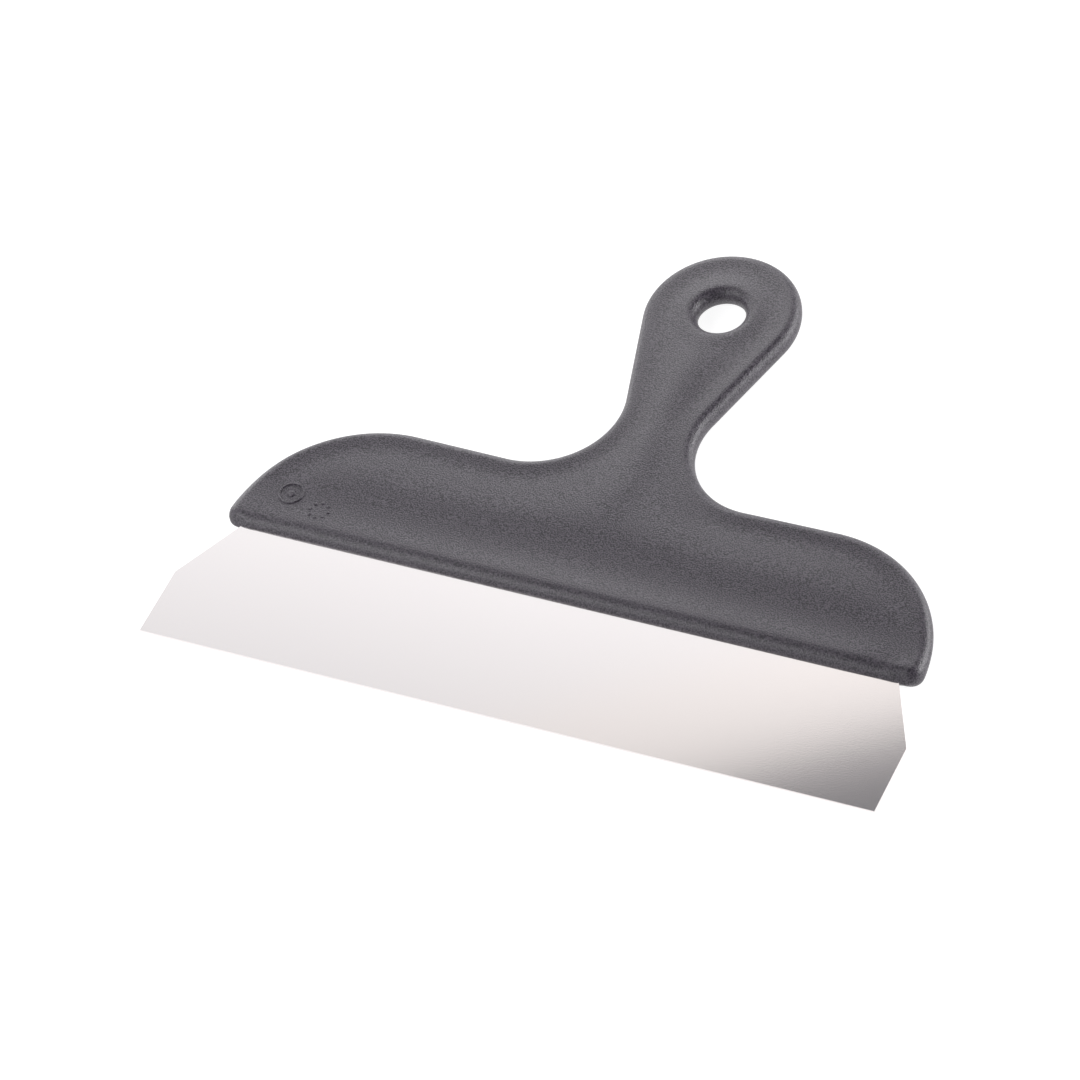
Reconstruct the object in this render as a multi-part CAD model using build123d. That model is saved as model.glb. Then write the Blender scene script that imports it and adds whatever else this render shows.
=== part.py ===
from build123d import *
import math
import os

# A bench scraper lying flat on a worktop: a thin steel blade, and a polypropylene handle moulded
# around the blade's tang. X runs along the cutting edge, Y from the cutting edge to the hang hole,
# and Z up. The blade lies in the handle's middle plane.
# The parts are drawn with Y measured from the cutting edge and Z from the middle plane, and are
# moved at the end, so that the origin is the middle of the footprint, on the worktop.

# Driving dimensions, in millimetres.
BLADE_WIDTH = 260.0
BLADE_THICKNESS = 0.9
STRAIGHT_SIDE = 26.0          # height of the blade's parallel sides, above the cutting edge
BLADE_WIDTH_AT_HANDLE = 235.2  # the sides taper in to this where they enter the handle
TANG_TOP = 79.0               # where the hidden tang ends
TANG_CORNER = 6.0
LOCK_HOLE_RADIUS = 4.0
LOCK_HOLE_COUNT = 7
LOCK_HOLE_SPACING = 30.0
LOCK_HOLE_Y = 68.0

HANDLE_FRONT = 49.7           # the handle's front edge, above the cutting edge
HANDLE_HALF_WIDTH = 124.4
SHOULDER_Y = 101.4
SHOULDER_X = 121.0            # where the wing's side and top would meet without their curve
SHOULDER_RADIUS = 48.0
TIP_RADIUS = 5.6
NECK_X = 6.0                  # where the wing's top and the neck's side would meet
NECK_Y = 100.1
NECK_RADIUS = 27.6
HEAD_Y = 178.5
HEAD_RADIUS = 26.8
THICKNESS = 9.6
EDGE_RADIUS = 4.5             # nearly half the thickness, so the edge is almost a half round
HANG_HOLE_RADIUS = 8.1
HANG_HOLE_LIP = 3.6

# Derived positions.
HEAD_CENTRE = (0.0, HEAD_Y)
LENGTH = HEAD_Y + HEAD_RADIUS
TO_FOOTPRINT = Pos(0.0, -LENGTH / 2, THICKNESS / 2)


def tangent_point_on_head():
    """Where the straight side of the neck touches the round head, on the +X side."""
    dx = HEAD_CENTRE[0] - NECK_X
    dy = HEAD_CENTRE[1] - NECK_Y
    distance = math.hypot(dx, dy)
    run = math.sqrt(distance**2 - HEAD_RADIUS**2)
    angle = math.atan2(dy, dx) - math.asin(HEAD_RADIUS / distance)
    return (NECK_X + run * math.cos(angle), NECK_Y + run * math.sin(angle))


def handle_outline():
    """The handle's plan: two wings, a waisted neck and a round head."""
    side_x, side_y = tangent_point_on_head()
    right = [
        (HANDLE_HALF_WIDTH, HANDLE_FRONT),
        (SHOULDER_X, SHOULDER_Y),
        (NECK_X, NECK_Y),
        (side_x, side_y),
    ]
    left = [(-x, y) for x, y in reversed(right)]
    radii = [NECK_RADIUS, SHOULDER_RADIUS, TIP_RADIUS, TIP_RADIUS, SHOULDER_RADIUS, NECK_RADIUS]
    with BuildSketch() as sketch:
        with BuildLine():
            FilletPolyline(*left, *right, radius=radii)
            ThreePointArc((side_x, side_y), (0.0, HEAD_Y + HEAD_RADIUS), (-side_x, side_y))
        make_face()
    return sketch.sketch


def blade():
    """A flat steel sheet: parallel sides, tapered shoulders, and a tang with punched holes."""
    half = BLADE_WIDTH / 2
    half_at_handle = BLADE_WIDTH_AT_HANDLE / 2
    slope = (half - half_at_handle) / (HANDLE_FRONT - STRAIGHT_SIDE)
    half_at_top = half_at_handle - slope * (TANG_TOP - HANDLE_FRONT)
    points = [
        (-half, 0.0),
        (half, 0.0),
        (half, STRAIGHT_SIDE),
        (half_at_top, TANG_TOP),
        (-half_at_top, TANG_TOP),
        (-half, STRAIGHT_SIDE),
    ]
    with BuildSketch() as sketch:
        with BuildLine():
            Polyline(*points, close=True)
        make_face()
        fillet(sketch.vertices().group_by(Axis.Y)[-1], TANG_CORNER)
        with Locations((0.0, LOCK_HOLE_Y)):
            with GridLocations(LOCK_HOLE_SPACING, 0.0, LOCK_HOLE_COUNT, 1):
                Circle(LOCK_HOLE_RADIUS, mode=Mode.SUBTRACT)
    return extrude(sketch.sketch, BLADE_THICKNESS / 2, both=True)


def handle(steel):
    """One moulding around the tang: its plastic fills the punched holes from both sides."""
    body = extrude(handle_outline(), THICKNESS / 2, both=True)
    rims = body.edges().group_by(Axis.Z)
    body = fillet(rims[0] + rims[-1], EDGE_RADIUS)
    hole = Pos(0.0, HEAD_Y, 0.0) * Cylinder(HANG_HOLE_RADIUS, 2 * THICKNESS)
    body -= hole
    circles = body.edges().filter_by(GeomType.CIRCLE)
    hole_rims = [edge for edge in circles if abs(edge.radius - HANG_HOLE_RADIUS) < 0.01]
    body = fillet(hole_rims, HANG_HOLE_LIP)
    return body - steel


def write(name, solid):
    """Move a part into the shared frame and write its file."""
    export_step(TO_FOOTPRINT * solid, os.path.join("parts", name + ".step"))


os.makedirs("parts", exist_ok=True)
steel = blade()
write("blade", steel)
write("handle", handle(steel))
print("length", LENGTH, "tangent point", tangent_point_on_head())
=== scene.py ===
import math

import bpy
import numpy as np
from mathutils import Matrix, Vector
from mathutils.geometry import delaunay_2d_cdt


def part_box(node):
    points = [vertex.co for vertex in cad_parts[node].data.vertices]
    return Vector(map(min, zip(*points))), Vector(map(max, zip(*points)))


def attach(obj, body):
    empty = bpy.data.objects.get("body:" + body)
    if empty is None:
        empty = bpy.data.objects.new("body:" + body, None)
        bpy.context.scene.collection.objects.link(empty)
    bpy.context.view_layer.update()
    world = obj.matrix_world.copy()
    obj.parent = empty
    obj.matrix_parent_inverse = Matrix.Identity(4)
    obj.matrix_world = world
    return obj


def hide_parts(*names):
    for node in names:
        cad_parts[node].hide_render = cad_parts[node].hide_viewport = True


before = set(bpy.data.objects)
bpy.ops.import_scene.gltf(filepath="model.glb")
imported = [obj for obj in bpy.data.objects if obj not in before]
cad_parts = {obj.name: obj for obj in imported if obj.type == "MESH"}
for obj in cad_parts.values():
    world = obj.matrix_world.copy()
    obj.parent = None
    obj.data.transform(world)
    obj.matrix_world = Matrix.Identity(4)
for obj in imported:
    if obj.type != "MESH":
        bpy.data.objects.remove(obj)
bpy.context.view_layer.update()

# The bench scraper lies flat. Plan sizes below are in millimetres, with Y measured from the cutting
# edge and Z from the blade's middle plane. to_row() turns them into metres in the shared frame.
MM = 0.001
blade_low, blade_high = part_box("blade")
handle_low, handle_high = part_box("handle")
EDGE_Y = blade_low.y                                # the cutting edge
MIDDLE_Z = (blade_low.z + blade_high.z) / 2         # the blade's middle plane

# The handle's plan, as in the CAD model.
HANDLE_FRONT = (handle_low.y - EDGE_Y) / MM
HANDLE_HALF_WIDTH = 124.4
SHOULDER = (121.0, 101.4)
SHOULDER_RADIUS = 48.0
TIP_RADIUS = 5.6
NECK = (6.0, 100.1)
NECK_RADIUS = 27.6
HEAD_Y = 178.5
HEAD_RADIUS = 26.8
HOLE_RADIUS = 8.1

# The handle's section: half its thickness, in millimetres, at each distance in from its edge.
# The blade's side is measured from the front edge, the rest from the nearest of the other edges.
FRONT_PROFILE = (
    (5.0, 3.93), (9.0, 3.40), (12.0, 3.10), (15.0, 3.15), (19.0, 3.31), (24.0, 3.73), (31.0, 4.30),
)
SIDE_PROFILE = (
    (4.0, 4.22), (6.0, 3.30), (8.0, 3.12), (12.0, 3.66), (19.0, 3.92), (24.0, 4.20), (31.0, 4.35),
)
NECK_PROFILE = ((4.6, 3.90), (6.6, 3.26), (8.4, 2.98), (11.0, 3.62), (19.0, 3.94))
CORNER_PROFILE = (
    (5.0, 3.75), (9.0, 3.75), (12.0, 3.80), (19.0, 3.93), (24.0, 4.20), (31.0, 4.35),
)
CORNER_AT = (20.0, 113.0)              # round here, in the right corner, the groove fades out
CORNER_REACH = (14.0, 13.0)
NECK_START, NECK_END = 96.0, 116.0     # the wing's section turns into the neck's between these
FACE_BLUR = 3.0                        # how softly the slopes run into each other
FRONT_NOSE = 5.3                       # how far the rounded edges reach in: at the blade,
SIDE_NOSE = 3.7                        # round the rest of the top,
UNDER_NOSE = 2.4                       # round the rest of the underside, which is fuller,
HOLE_NOSE = 3.6                        # and round the hang hole
SPINE_HEIGHT = 0.70                    # the low ridge that runs up the middle of the neck
SPINE_HALF_WIDTH = 7.3
SPINE_START, SPINE_FULL = 80.0, 98.0
SPINE_FADE, SPINE_END = 150.0, 175.0
DIP_Y, DIP_DEPTH = 68.0, 0.24          # a shallow dip in front of the spine
DIP_REACH = (30.0, 6.0)
HOLE_RISE = 0.14                       # the face rises a little around the hang hole
HOLE_RISE_AT, HOLE_RISE_WIDTH = 4.5, 2.0

# Plain raised marks from the mould on the left wing: a ring with a pip, and a ring of small dots.
MARK_RING_CENTRE = (-105.7, 65.5)
MARK_RING_RADIUS = 4.1
MARK_PIP_RADIUS = 1.5
MARK_DOTS_CENTRE = (-93.4, 61.2)
MARK_DOTS_RADIUS = 3.3
MARK_DOT_COUNT = 8
MARK_DOT_RADIUS = 0.62
MARK_LINE_WIDTH = 0.75
MARK_HEIGHT = 0.40

# Mesh density.
OUTLINE_STEP = 1.1
HOLE_SEGMENTS = 66
NOSE_RINGS = 12                        # rings over a rounded edge
RIM_RINGS = 8                          # rings on the face inside it
HOLE_RIM_RINGS = 2                     # the same around the hang hole
RIM_RING_STEP = 0.8
INNER_STEP = 1.3                       # the filling of the face
FILL_CLEARANCE = 0.6                   # its gap to the rings, as a part of its step
ROW_PITCH = 0.866                      # its rows' distance, for triangles with equal sides
FIELD_STEP = 0.6                       # the grid that holds the face's height

# Tolerances.
RING_SLACK = 0.02                      # a ring's point may be this much nearer another edge
MERGE_DISTANCE = 1e-5
HOLE_TEST = 0.999                      # a triangle inside this part of the hole's radius is dropped
SNAP = 0.01                            # closer than this, a point is on the front edge
CHUNK = 2000                           # how many points distance_to handles at a time


def to_row(x, y, z):
    """Millimetres in the drawing's frame to metres in the shared frame."""
    return Vector((x * MM, y * MM + EDGE_Y, z * MM + MIDDLE_Z))


def smooth_step(values):
    t = np.clip(values, 0.0, 1.0)
    return t * t * (3.0 - 2.0 * t)


# ---------------------------------------------------------------- outline

def arc_points(centre, radius, start, sweep, step):
    count = max(3, int(abs(sweep) * radius / step))
    angles = start + sweep * np.arange(count + 1) / count
    return centre + radius * np.stack([np.cos(angles), np.sin(angles)], 1)


def line_points(start, end, step):
    count = max(1, int(np.linalg.norm(end - start) / step))
    t = np.arange(count + 1)[:, None] / count
    return start + (end - start) * t


def rounded_path(corners, radii, step):
    """A polyline with its inner corners rounded by tangent arcs."""
    corners = [np.array(c, float) for c in corners]
    pieces, previous = [], corners[0]
    for before, corner, after, radius in zip(corners, corners[1:], corners[2:], radii):
        u = (before - corner) / np.linalg.norm(before - corner)
        v = (after - corner) / np.linalg.norm(after - corner)
        half = math.acos(float(np.clip(u @ v, -1, 1))) / 2
        start = corner + u * radius / math.tan(half)
        end = corner + v * radius / math.tan(half)
        centre = corner + (u + v) / np.linalg.norm(u + v) * radius / math.sin(half)
        a0 = math.atan2(*(start - centre)[::-1])
        a1 = math.atan2(*(end - centre)[::-1])
        sweep = (a1 - a0 + math.pi) % (2 * math.pi) - math.pi
        pieces.append(line_points(previous, start, step)[:-1])
        pieces.append(arc_points(centre, radius, a0, sweep, step)[:-1])
        previous = end
    pieces.append(line_points(previous, corners[-1], step))
    return np.concatenate(pieces)


def handle_outline(step):
    """The closed plan of the handle, anticlockwise, starting at the middle of its front edge."""
    centre = np.array([0.0, HEAD_Y])
    neck = np.array(NECK)
    reach = centre - neck
    distance = np.linalg.norm(reach)
    run = math.sqrt(distance**2 - HEAD_RADIUS**2)
    angle = math.atan2(reach[1], reach[0]) - math.asin(HEAD_RADIUS / distance)
    side = neck + run * np.array([math.cos(angle), math.sin(angle)])
    corners = [(0.0, HANDLE_FRONT), (HANDLE_HALF_WIDTH, HANDLE_FRONT), SHOULDER, NECK, side]
    half = rounded_path(corners, [TIP_RADIUS, SHOULDER_RADIUS, NECK_RADIUS], step)
    start = math.atan2(side[1] - HEAD_Y, side[0])
    head = arc_points(centre, HEAD_RADIUS, start, math.pi / 2 - start, step)
    half = np.concatenate([half[:-1], head])
    return np.concatenate([half, (half * [-1, 1])[::-1][1:-1]])


def is_on_front(outline):
    return outline[:, 1] < HANDLE_FRONT + SNAP


def distance_to(points, path, closed=True):
    """Distance from each point to a path."""
    a = path if closed else path[:-1]
    ab = np.roll(path, -1, 0)[:len(a)] - a
    length2 = (ab**2).sum(1)
    best = np.empty(len(points))
    for i in range(0, len(points), CHUNK):
        rel = points[i:i + CHUNK, None, :] - a[None]
        t = np.clip((rel * ab).sum(-1) / length2, 0, 1)
        gap = rel - t[..., None] * ab
        best[i:i + CHUNK] = np.sqrt((gap**2).sum(-1).min(1))
    return best


def is_inside(points, outline):
    """Even-odd test of each point against the closed outline."""
    x, y = points[:, 0], points[:, 1]
    inside = np.zeros(len(points), bool)
    for (x0, y0), (x1, y1) in zip(outline, np.roll(outline, -1, 0)):
        if y0 == y1:
            continue
        crosses = (y0 > y) != (y1 > y)
        inside ^= crosses & (x < x0 + (y - y0) * (x1 - x0) / (y1 - y0))
    return inside


# ---------------------------------------------------------------- the face's height

def gaussian_blur(field, sigma):
    reach = int(3 * sigma) + 1
    weights = np.exp(-0.5 * (np.arange(-reach, reach + 1) / sigma) ** 2)
    weights /= weights.sum()
    for axis in (0, 1):
        margins = [(reach, reach) if axis == k else (0, 0) for k in (0, 1)]
        padded = np.pad(field, margins, mode="edge")
        field = np.apply_along_axis(np.convolve, axis, padded, weights, mode="valid")
    return field


def profile(distance, points):
    places, heights = zip(*points)
    return np.interp(distance, places, heights)


def rounded_edge(distance, reach):
    """A factor that turns the face down to the middle plane, along a quarter of an ellipse."""
    t = 1 - np.clip(distance / reach, 0, 1)
    return np.sqrt(1 - t**2)


class Face:
    """Height of the handle's face above the middle plane, looked up in a softened grid."""

    def __init__(self, outline):
        on_front = is_on_front(outline)
        first = int(np.flatnonzero(~on_front)[0]) - 1
        self.other_edges = np.roll(outline, -first, 0)[:(~on_front).sum() + 2]
        margin = 4 * FACE_BLUR                   # so that the blur stays clear of the border
        self.low = outline.min(0) - margin
        high = outline.max(0) + margin
        xs = np.arange(self.low[0], high[0], FIELD_STEP)
        ys = np.arange(self.low[1], high[1], FIELD_STEP)
        x, y = np.meshgrid(xs, ys)
        points = np.stack([x.ravel(), y.ravel()], 1)
        side = self.from_side(points) * np.where(is_inside(points, outline), 1, -1)
        side = side.reshape(x.shape)
        in_neck = smooth_step((y - NECK_START) / (NECK_END - NECK_START))
        height = profile(side, SIDE_PROFILE) * (1 - in_neck)
        height += profile(side, NECK_PROFILE) * in_neck
        corner_x = (x - CORNER_AT[0]) / CORNER_REACH[0]
        corner_y = (y - CORNER_AT[1]) / CORNER_REACH[1]
        corner = np.hypot(corner_x, corner_y)
        in_corner = smooth_step(2.0 - corner)    # gone at twice the reach
        height = profile(side, CORNER_PROFILE) * in_corner + height * (1 - in_corner)
        height = np.minimum(height, profile(y - HANDLE_FRONT, FRONT_PROFILE))
        spine = np.clip(1 - np.abs(x) / SPINE_HALF_WIDTH, 0, 1)
        spine *= smooth_step((y - SPINE_START) / (SPINE_FULL - SPINE_START))
        spine *= smooth_step((SPINE_END - y) / (SPINE_END - SPINE_FADE))
        dip = np.hypot(x / DIP_REACH[0], (y - DIP_Y) / DIP_REACH[1])
        height += SPINE_HEIGHT * spine - DIP_DEPTH * np.exp(-0.5 * dip**2)
        self.field = gaussian_blur(height, FACE_BLUR / FIELD_STEP)

    def from_side(self, points):
        return distance_to(points, self.other_edges, closed=False)

    def at(self, points):
        """The softened height, without the rounded edges, between the grid's nearest values."""
        u = (points - self.low) / FIELD_STEP
        i = np.clip(np.floor(u).astype(int), 0, np.array(self.field.shape[::-1]) - 2)
        f = u - i
        column, row = i[:, 0], i[:, 1]
        right, above = f[:, 0], f[:, 1]
        grid = self.field
        low = grid[row, column] * (1 - right) + grid[row, column + 1] * right
        high = grid[row + 1, column] * (1 - right) + grid[row + 1, column + 1] * right
        return low * (1 - above) + high * above

    def height(self, points, side_nose=SIDE_NOSE):
        """The height with its rounded edges; it is 0 on the outline and on the hang hole."""
        from_hole = np.hypot(points[:, 0], points[:, 1] - HEAD_Y) - HOLE_RADIUS
        ring = (from_hole - HOLE_RISE_AT) / HOLE_RISE_WIDTH
        height = self.at(points) + HOLE_RISE * np.exp(-0.5 * ring**2)
        height *= rounded_edge(points[:, 1] - HANDLE_FRONT, FRONT_NOSE)
        height *= rounded_edge(self.from_side(points), side_nose)
        return height * rounded_edge(from_hole, HOLE_NOSE)


# ---------------------------------------------------------------- meshes

def ring_turns():
    """Ring distances as parts of the nose's reach: close together where the edge turns."""
    turn = np.linspace(0, math.pi / 2, NOSE_RINGS + 1)[1:]
    return 1 - np.cos(turn)


def handle_points(outline):
    """Plan points of one face: the outline, rings inside it and around the hole, and a filling."""
    ahead = np.roll(outline, -1, 0) - np.roll(outline, 1, 0)
    inward = np.stack([-ahead[:, 1], ahead[:, 0]], 1) / np.linalg.norm(ahead, axis=1)[:, None]
    reach = np.where(is_on_front(outline), FRONT_NOSE, SIDE_NOSE)
    angles = np.arange(HOLE_SEGMENTS) * 2 * math.pi / HOLE_SEGMENTS
    spokes = np.stack([np.cos(angles), np.sin(angles)], 1)
    centre = np.array([0.0, HEAD_Y])
    hole = centre + HOLE_RADIUS * spokes[::-1]
    rims = [reach * turn for turn in ring_turns()]
    rims += [reach + (k + 1) * RIM_RING_STEP for k in range(RIM_RINGS)]
    layers = [outline, hole]
    for depth in rims:
        ring = outline + inward * depth[:, None]
        layers.append(ring[distance_to(ring, outline) > depth - RING_SLACK])
    hole_rims = list(HOLE_NOSE * ring_turns())
    hole_rims += [HOLE_NOSE + (k + 1) * RIM_RING_STEP for k in range(HOLE_RIM_RINGS)]
    for depth in hole_rims:
        layers.append(centre + (HOLE_RADIUS + depth) * spokes)
    low, high = outline.min(0), outline.max(0)
    xs = np.arange(low[0], high[0], INNER_STEP)
    ys = np.arange(low[1], high[1], INNER_STEP * ROW_PITCH)
    grid_x, grid_y = np.meshgrid(xs, ys)
    grid_x[1::2] += INNER_STEP / 2
    inner = np.stack([grid_x.ravel(), grid_y.ravel()], 1)
    inner = inner[is_inside(inner, outline)]
    clear = RIM_RINGS * RIM_RING_STEP + INNER_STEP * FILL_CLEARANCE
    inner = inner[distance_to(inner, outline) > SIDE_NOSE + clear]
    inner = inner[inner[:, 1] > HANDLE_FRONT + FRONT_NOSE + clear]
    from_hole = np.hypot(inner[:, 0], inner[:, 1] - HEAD_Y) - HOLE_RADIUS
    layers.append(inner[from_hole > hole_rims[-1] + INNER_STEP * FILL_CLEARANCE])
    return np.concatenate(layers), len(outline), len(hole)


def handle_mesh():
    """The moulding: a top and an underside that meet all round the outline and in the hang hole."""
    outline = handle_outline(OUTLINE_STEP)
    face = Face(outline)
    points, n_outline, n_hole = handle_points(outline)
    loops = [[i, (i + 1) % n_outline] for i in range(n_outline)]
    loops += [[n_outline + i, n_outline + (i + 1) % n_hole] for i in range(n_hole)]
    flat = [Vector(p) for p in points]
    verts, _, triangles, origins, _, _ = delaunay_2d_cdt(flat, loops, [], 0, MERGE_DISTANCE)
    verts = np.array([[v.x, v.y] for v in verts])
    triangles = np.array(triangles)
    middle = verts[triangles].mean(1)
    keep = is_inside(middle, outline)
    keep &= np.hypot(middle[:, 0], middle[:, 1] - HEAD_Y) > HOLE_RADIUS * HOLE_TEST
    triangles = triangles[keep]
    on_edge = np.array([any(o < n_outline + n_hole for o in group) for group in origins])
    height, depth = face.height(verts), face.height(verts, UNDER_NOSE)
    height[on_edge] = 0.0
    # The underside shares the edge's vertices and has its own for the rest.
    under = np.arange(len(verts))
    free = np.flatnonzero(~on_edge)
    under[free] = len(verts) + np.arange(len(free))
    places = [to_row(x, y, z) for (x, y), z in zip(verts, height)]
    places += [to_row(verts[i, 0], verts[i, 1], -depth[i]) for i in free]
    top = [tuple(int(i) for i in t) for t in triangles]
    bottom = [tuple(int(under[i]) for i in t[::-1]) for t in triangles]
    mesh = bpy.data.meshes.new("handle_moulding")
    mesh.from_pydata(places, [], top + bottom)
    mesh.validate()
    mesh.update()
    return mesh, face


# Sections of the marks. A ridge's points are given across it, in widths, and up, in heights; a
# dot's are given from its centre, in radii, and up. Both reach a little below the face.
RIDGE_SECTION = ((-0.5, -0.5), (-0.5, 0.35), (-0.25, 1.0), (0.25, 1.0), (0.5, 0.35), (0.5, -0.5))
DOT_SECTION = ((1.0, -0.5), (1.0, 0.3), (0.6, 0.85))


def around(centre, radius, turn):
    return np.array(centre) + radius * np.array([math.cos(turn), math.sin(turn)])


def point_on_face(face, point, above):
    ground = float(face.height(point[None])[0])
    return to_row(point[0], point[1], ground + above)


def raised_ring(face, centre, radius, verts, faces, segments=40):
    """A low closed ridge on the face, along a circle."""
    first = len(verts)
    for i in range(segments):
        for out, up in RIDGE_SECTION:
            point = around(centre, radius + out * MARK_LINE_WIDTH, 2 * math.pi * i / segments)
            verts.append(point_on_face(face, point, up * MARK_HEIGHT))
    count = len(RIDGE_SECTION)
    for i in range(segments):
        a, b = first + i * count, first + (i + 1) % segments * count
        for k in range(count):
            after = (k + 1) % count
            faces.append((a + k, a + after, b + after, b + k))


def raised_dot(face, centre, radius, verts, faces, segments=12):
    """A low closed dome on the face."""
    first = len(verts)
    for out, up in DOT_SECTION:
        for i in range(segments):
            point = around(centre, out * radius, 2 * math.pi * i / segments)
            verts.append(point_on_face(face, point, up * MARK_HEIGHT))
    for layer in range(len(DOT_SECTION) - 1):
        for i in range(segments):
            a, b = first + layer * segments, first + (layer + 1) * segments
            j = (i + 1) % segments
            faces.append((a + i, a + j, b + j, b + i))
    faces.append(tuple(first + segments - 1 - i for i in range(segments)))
    top = first + (len(DOT_SECTION) - 1) * segments
    faces.append(tuple(top + i for i in range(segments)))


def marks_mesh(face):
    """The mould's raised marks, as one mesh of separate closed shapes."""
    verts, faces = [], []
    raised_ring(face, MARK_RING_CENTRE, MARK_RING_RADIUS, verts, faces)
    raised_dot(face, MARK_RING_CENTRE, MARK_PIP_RADIUS, verts, faces, segments=20)
    for i in range(MARK_DOT_COUNT):
        place = around(MARK_DOTS_CENTRE, MARK_DOTS_RADIUS, 2 * math.pi * i / MARK_DOT_COUNT)
        raised_dot(face, place, MARK_DOT_RADIUS, verts, faces)
    mesh = bpy.data.meshes.new("mould_marks")
    mesh.from_pydata(verts, [], faces)
    mesh.validate()
    mesh.update()
    return mesh


def new_piece(name, mesh, material):
    obj = bpy.data.objects.new(name, mesh)
    bpy.context.scene.collection.objects.link(obj)
    mesh.materials.append(material)
    mesh.polygons.foreach_set("use_smooth", [True] * len(mesh.polygons))
    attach(obj, "root")
    return obj


# ---------------------------------------------------------------- materials

def new_material(name):
    material = bpy.data.materials.new(name)
    material.use_nodes = True
    nodes = material.node_tree.nodes
    return material, nodes, material.node_tree.links, nodes["Principled BSDF"]


def grain(nodes, links, scale, detail):
    """Noise in real size: scale is in features per metre."""
    coordinates = nodes.new("ShaderNodeTexCoord")
    noise = nodes.new("ShaderNodeTexNoise")
    noise.inputs["Scale"].default_value = scale
    noise.inputs["Detail"].default_value = detail
    links.new(coordinates.outputs["Object"], noise.inputs["Vector"])
    return noise.outputs["Fac"]


PLASTIC_DARK, PLASTIC_LIGHT = (0.004, 0.000, 0.007), (0.082, 0.070, 0.089)
PLASTIC_GRAIN = 2000          # grains' sizes are in features per metre
PLASTIC_RELIEF = 0.17         # millimetres
PLASTIC_ROUGHNESS = 0.40
PLASTIC_SPECULAR = 0.83
PLASTIC_IOR = 1.49
STEEL_DARK, STEEL_LIGHT = (0.908, 0.870, 0.864), (0.918, 0.880, 0.874)
STEEL_GRAIN = 1500
STEEL_RELIEF = 0.02           # millimetres
STEEL_RELIEF_STRENGTH = 0.16
STEEL_ROUGHNESS = 0.118
SHADE_REACH = 47.0             # painted shade: the steel's colour is darkened towards the cutting edge over this reach
EDGE_SHADE_BRIGHTNESS = 0.90        # what its colour is multiplied by at the cutting edge, as painted shade
HANDLE_SIDE_BRIGHTNESS = 1.035      # and at the handle, where it is painted a little lighter
FLOOR_DARK, FLOOR_LIGHT = (0.36, 0.36, 0.36), (0.37, 0.37, 0.37)
FLOOR_GRAIN = 3
FLOOR_ROUGHNESS = 0.9
FLOOR_GLOW = 0.90
NOISE_RANGE = (0.38, 0.62)    # most of a noise's values lie between these


def ramp(nodes, links, source, low, high):
    """Maps a noise's middle range onto two colours."""
    node = nodes.new("ShaderNodeValToRGB")
    for element, place, colour in zip(node.color_ramp.elements, NOISE_RANGE, (low, high)):
        element.position = place
        element.color = (*colour, 1)
    links.new(source, node.inputs["Fac"])
    return node.outputs["Color"]


def add_bump(nodes, links, source, shader, strength, distance):
    """Relief from a noise; the distance is the relief's height in metres."""
    bump = nodes.new("ShaderNodeBump")
    bump.inputs["Strength"].default_value = strength
    bump.inputs["Distance"].default_value = distance
    links.new(source, bump.inputs["Height"])
    links.new(bump.outputs["Normal"], shader.inputs["Normal"])


def plastic_material():
    """Dark grey polypropylene with a fine sand-like moulded texture."""
    material, nodes, links, shader = new_material("grey_polypropylene")
    fine = grain(nodes, links, PLASTIC_GRAIN, 1)
    colour = ramp(nodes, links, fine, PLASTIC_DARK, PLASTIC_LIGHT)
    links.new(colour, shader.inputs["Base Color"])
    shader.inputs["Roughness"].default_value = PLASTIC_ROUGHNESS
    shader.inputs["Specular IOR Level"].default_value = PLASTIC_SPECULAR
    shader.inputs["IOR"].default_value = PLASTIC_IOR
    add_bump(nodes, links, fine, shader, 1.0, PLASTIC_RELIEF * MM)
    return material


def steel_material():
    """Satin stainless sheet with a very fine even grain; its colour is painted darker towards the
    cutting edge as shade, and a little lighter at the handle.
    """
    material, nodes, links, shader = new_material("satin_steel")
    fine = grain(nodes, links, STEEL_GRAIN, 2)
    colour = ramp(nodes, links, fine, STEEL_DARK, STEEL_LIGHT)
    # Painted shade: the colour is scaled down towards the cutting edge and slightly up near the
    # handle.
    place = nodes.new("ShaderNodeTexCoord")
    across = nodes.new("ShaderNodeSeparateXYZ")
    painted_shade = nodes.new("ShaderNodeMapRange")
    painted_shade.inputs["From Min"].default_value = EDGE_Y
    painted_shade.inputs["From Max"].default_value = EDGE_Y + SHADE_REACH * MM
    painted_shade.inputs["To Min"].default_value = EDGE_SHADE_BRIGHTNESS
    painted_shade.inputs["To Max"].default_value = HANDLE_SIDE_BRIGHTNESS
    shaded_colour = nodes.new("ShaderNodeVectorMath")
    shaded_colour.operation = "SCALE"
    links.new(place.outputs["Object"], across.inputs["Vector"])
    links.new(across.outputs["Y"], painted_shade.inputs["Value"])
    links.new(colour, shaded_colour.inputs[0])
    links.new(painted_shade.outputs["Result"], shaded_colour.inputs["Scale"])
    links.new(shaded_colour.outputs["Vector"], shader.inputs["Base Color"])
    shader.inputs["Metallic"].default_value = 1.0
    shader.inputs["Roughness"].default_value = STEEL_ROUGHNESS
    add_bump(nodes, links, fine, shader, STEEL_RELIEF_STRENGTH, STEEL_RELIEF * MM)
    return material


def floor_material():
    """A nearly white sweep that glows a little, so that shadows on it stay faint."""
    material, nodes, links, shader = new_material("white_table")
    soft = grain(nodes, links, FLOOR_GRAIN, 1)
    colour = ramp(nodes, links, soft, FLOOR_DARK, FLOOR_LIGHT)
    links.new(colour, shader.inputs["Base Color"])
    shader.inputs["Roughness"].default_value = FLOOR_ROUGHNESS
    shader.inputs["Specular IOR Level"].default_value = 0.0
    shader.inputs["Emission Color"].default_value = (1, 1, 1, 1)
    shader.inputs["Emission Strength"].default_value = FLOOR_GLOW
    return material


# ---------------------------------------------------------------- the stage

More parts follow.
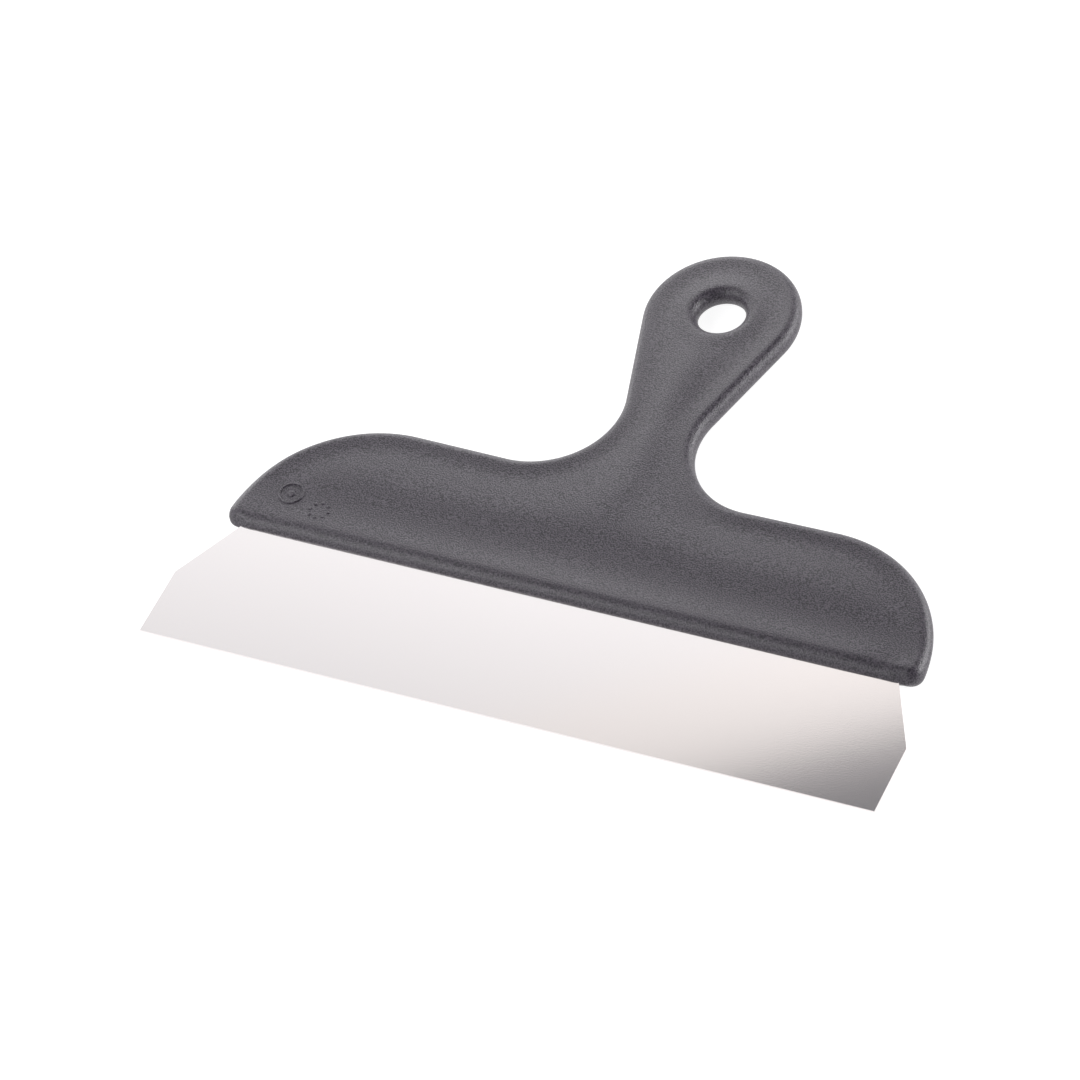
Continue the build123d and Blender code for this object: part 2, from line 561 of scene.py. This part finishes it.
CAMERA_AZIMUTH = math.radians(35.83)
CAMERA_ELEVATION = math.radians(47.491)
CAMERA_ROLL = math.radians(-14.865)
CAMERA_DISTANCE = 2059.6      # millimetres, like the target
CAMERA_TARGET = (-18.5, 72.45, 0.0)
FOCAL_IN_FRAME_WIDTHS = 5.89986
SENSOR = 36.0
FAR_CLIP = 50.0               # metres


def add_camera():
    a, e, r = CAMERA_AZIMUTH, CAMERA_ELEVATION, CAMERA_ROLL
    back = Vector((math.sin(a) * math.cos(e), -math.cos(a) * math.cos(e), math.sin(e)))
    right = (-back).cross(Vector((0, 0, 1))).normalized()
    up = right.cross(-back)
    across = right * math.cos(r) + up * math.sin(r)
    upward = up * math.cos(r) - right * math.sin(r)
    data = bpy.data.cameras.new("camera")
    data.sensor_width = SENSOR
    data.lens = FOCAL_IN_FRAME_WIDTHS * SENSOR
    data.clip_end = FAR_CLIP
    camera = bpy.data.objects.new("camera", data)
    place = to_row(*CAMERA_TARGET) + back * CAMERA_DISTANCE * MM
    turn = Matrix((across, upward, back)).transposed().to_4x4()
    camera.matrix_world = Matrix.Translation(place) @ turn
    bpy.context.scene.collection.objects.link(camera)
    bpy.context.scene.camera = camera


# The softboxes face the blade's lower right part, where the blade mirrors the top edge of the back
# softbox and so turns from bright to dark.
LIGHT_TARGET = (93.4, 5.3, 0.0)
SKY_LOW = 0.44                # brightness of the pale surround near the horizon
SKY_HIGH = 0.12               # and straight above
SKY_FADE = (0.3, 1.0)         # the sines of the elevations where it starts and stops fading
SKY_COLOUR = (0.98, 0.98, 1.04)
TABLE_HALF_SIZE = 6.0         # metres


def across_from_camera(azimuth, elevation):
    """A direction; azimuth 0 is straight across from the camera, and positive is to its left."""
    turned = CAMERA_AZIMUTH + math.pi / 2 + math.radians(azimuth)
    e = math.radians(elevation)
    return Vector((math.cos(e) * math.cos(turned), math.cos(e) * math.sin(turned), math.sin(e)))


def add_softbox(name, azimuth, elevation, distance, size, radiance,
                aside=0.0, raised=0.0, colour=(1, 1, 1)):
    """A rectangular softbox that faces LIGHT_TARGET from azimuth and elevation; lengths in metres.

    radiance is the brightness that a perfect mirror would show of it. aside and raised slide it to
    the camera's left and up, within its own plane."""
    data = bpy.data.lights.new(name, "AREA")
    data.shape = "RECTANGLE"
    data.size, data.size_y = size
    data.energy = radiance * math.pi * size[0] * size[1]
    data.color = colour
    light = bpy.data.objects.new(name, data)
    towards = across_from_camera(azimuth, elevation)
    left = Vector((0, 0, 1)).cross(towards).normalized()
    upward = towards.cross(left)
    turn = Matrix((-left, upward, towards)).transposed().to_4x4()
    place = to_row(*LIGHT_TARGET) + towards * distance + left * aside + upward * raised
    light.matrix_world = Matrix.Translation(place) @ turn
    bpy.context.scene.collection.objects.link(light)


def add_surround():
    """A pale studio surround, darker above than at the horizon."""
    world = bpy.data.worlds.new("studio")
    world.use_nodes = True
    nodes, links = world.node_tree.nodes, world.node_tree.links
    direction = nodes.new("ShaderNodeTexCoord")
    height = nodes.new("ShaderNodeSeparateXYZ")
    fade = nodes.new("ShaderNodeMapRange")
    fade.inputs["From Min"].default_value = SKY_FADE[0]
    fade.inputs["From Max"].default_value = SKY_FADE[1]
    fade.inputs["To Min"].default_value = SKY_LOW
    fade.inputs["To Max"].default_value = SKY_HIGH
    links.new(direction.outputs["Generated"], height.inputs["Vector"])
    links.new(height.outputs["Z"], fade.inputs["Value"])
    links.new(fade.outputs["Result"], nodes["Background"].inputs["Strength"])
    nodes["Background"].inputs["Color"].default_value = (*SKY_COLOUR, 1)
    bpy.context.scene.world = world


def add_table():
    mesh = bpy.data.meshes.new("table")
    h = TABLE_HALF_SIZE
    mesh.from_pydata([(-h, -h, 0), (h, -h, 0), (h, h, 0), (-h, h, 0)], [], [(0, 1, 2, 3)])
    mesh.materials.append(floor_material())
    table = bpy.data.objects.new("table", mesh)
    bpy.context.scene.collection.objects.link(table)


def add_lights():
    """One large softbox behind, with a warmer strip along its top, and smaller ones all round."""
    add_softbox("back_softbox", 0, 28, 0.557, (0.75, 0.45), 0.74, aside=-0.075, raised=-0.051)
    add_softbox("back_warm_strip", 0, 28, 0.557, (0.75, 0.05), 0.78, aside=-0.075, raised=0.199,
                colour=(1.0, 0.96, 0.92))
    # This one stands a little in front of the back softbox, so that the two don't share a plane.
    add_softbox("back_low_softbox", 0, 28, 0.540, (0.22, 0.34), 1.55, aside=-0.04, raised=-0.101)
    add_softbox("left_softbox", 85, 45, 0.62, (0.50, 0.28), 3.10)
    add_softbox("left_low_softbox", 85, 15, 0.62, (0.50, 0.32), 0.65)
    add_softbox("front_left_softbox", 135, 20, 0.70, (0.50, 0.40), 0.50)
    add_softbox("right_softbox", -85, 15, 0.62, (0.50, 0.32), 4.80)
    # These two brighten the rims that turn away from the camera.
    add_softbox("left_rim_softbox", 30, 6, 0.64, (0.26, 0.26), 2.80)
    add_softbox("right_rim_softbox", -54, 6, 0.64, (0.26, 0.26), 2.50)


# ---------------------------------------------------------------- build

plastic = plastic_material()
steel = steel_material()
mesh, face = handle_mesh()
handle = new_piece("handle_moulding", mesh, plastic)
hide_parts("handle")
marks = new_piece("mould_marks", marks_mesh(face), plastic)

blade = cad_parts["blade"]
blade.data.materials.clear()
blade.data.materials.append(steel)

add_camera()
add_table()
add_surround()
add_lights()
bpy.context.scene.view_settings.view_transform = "Standard"
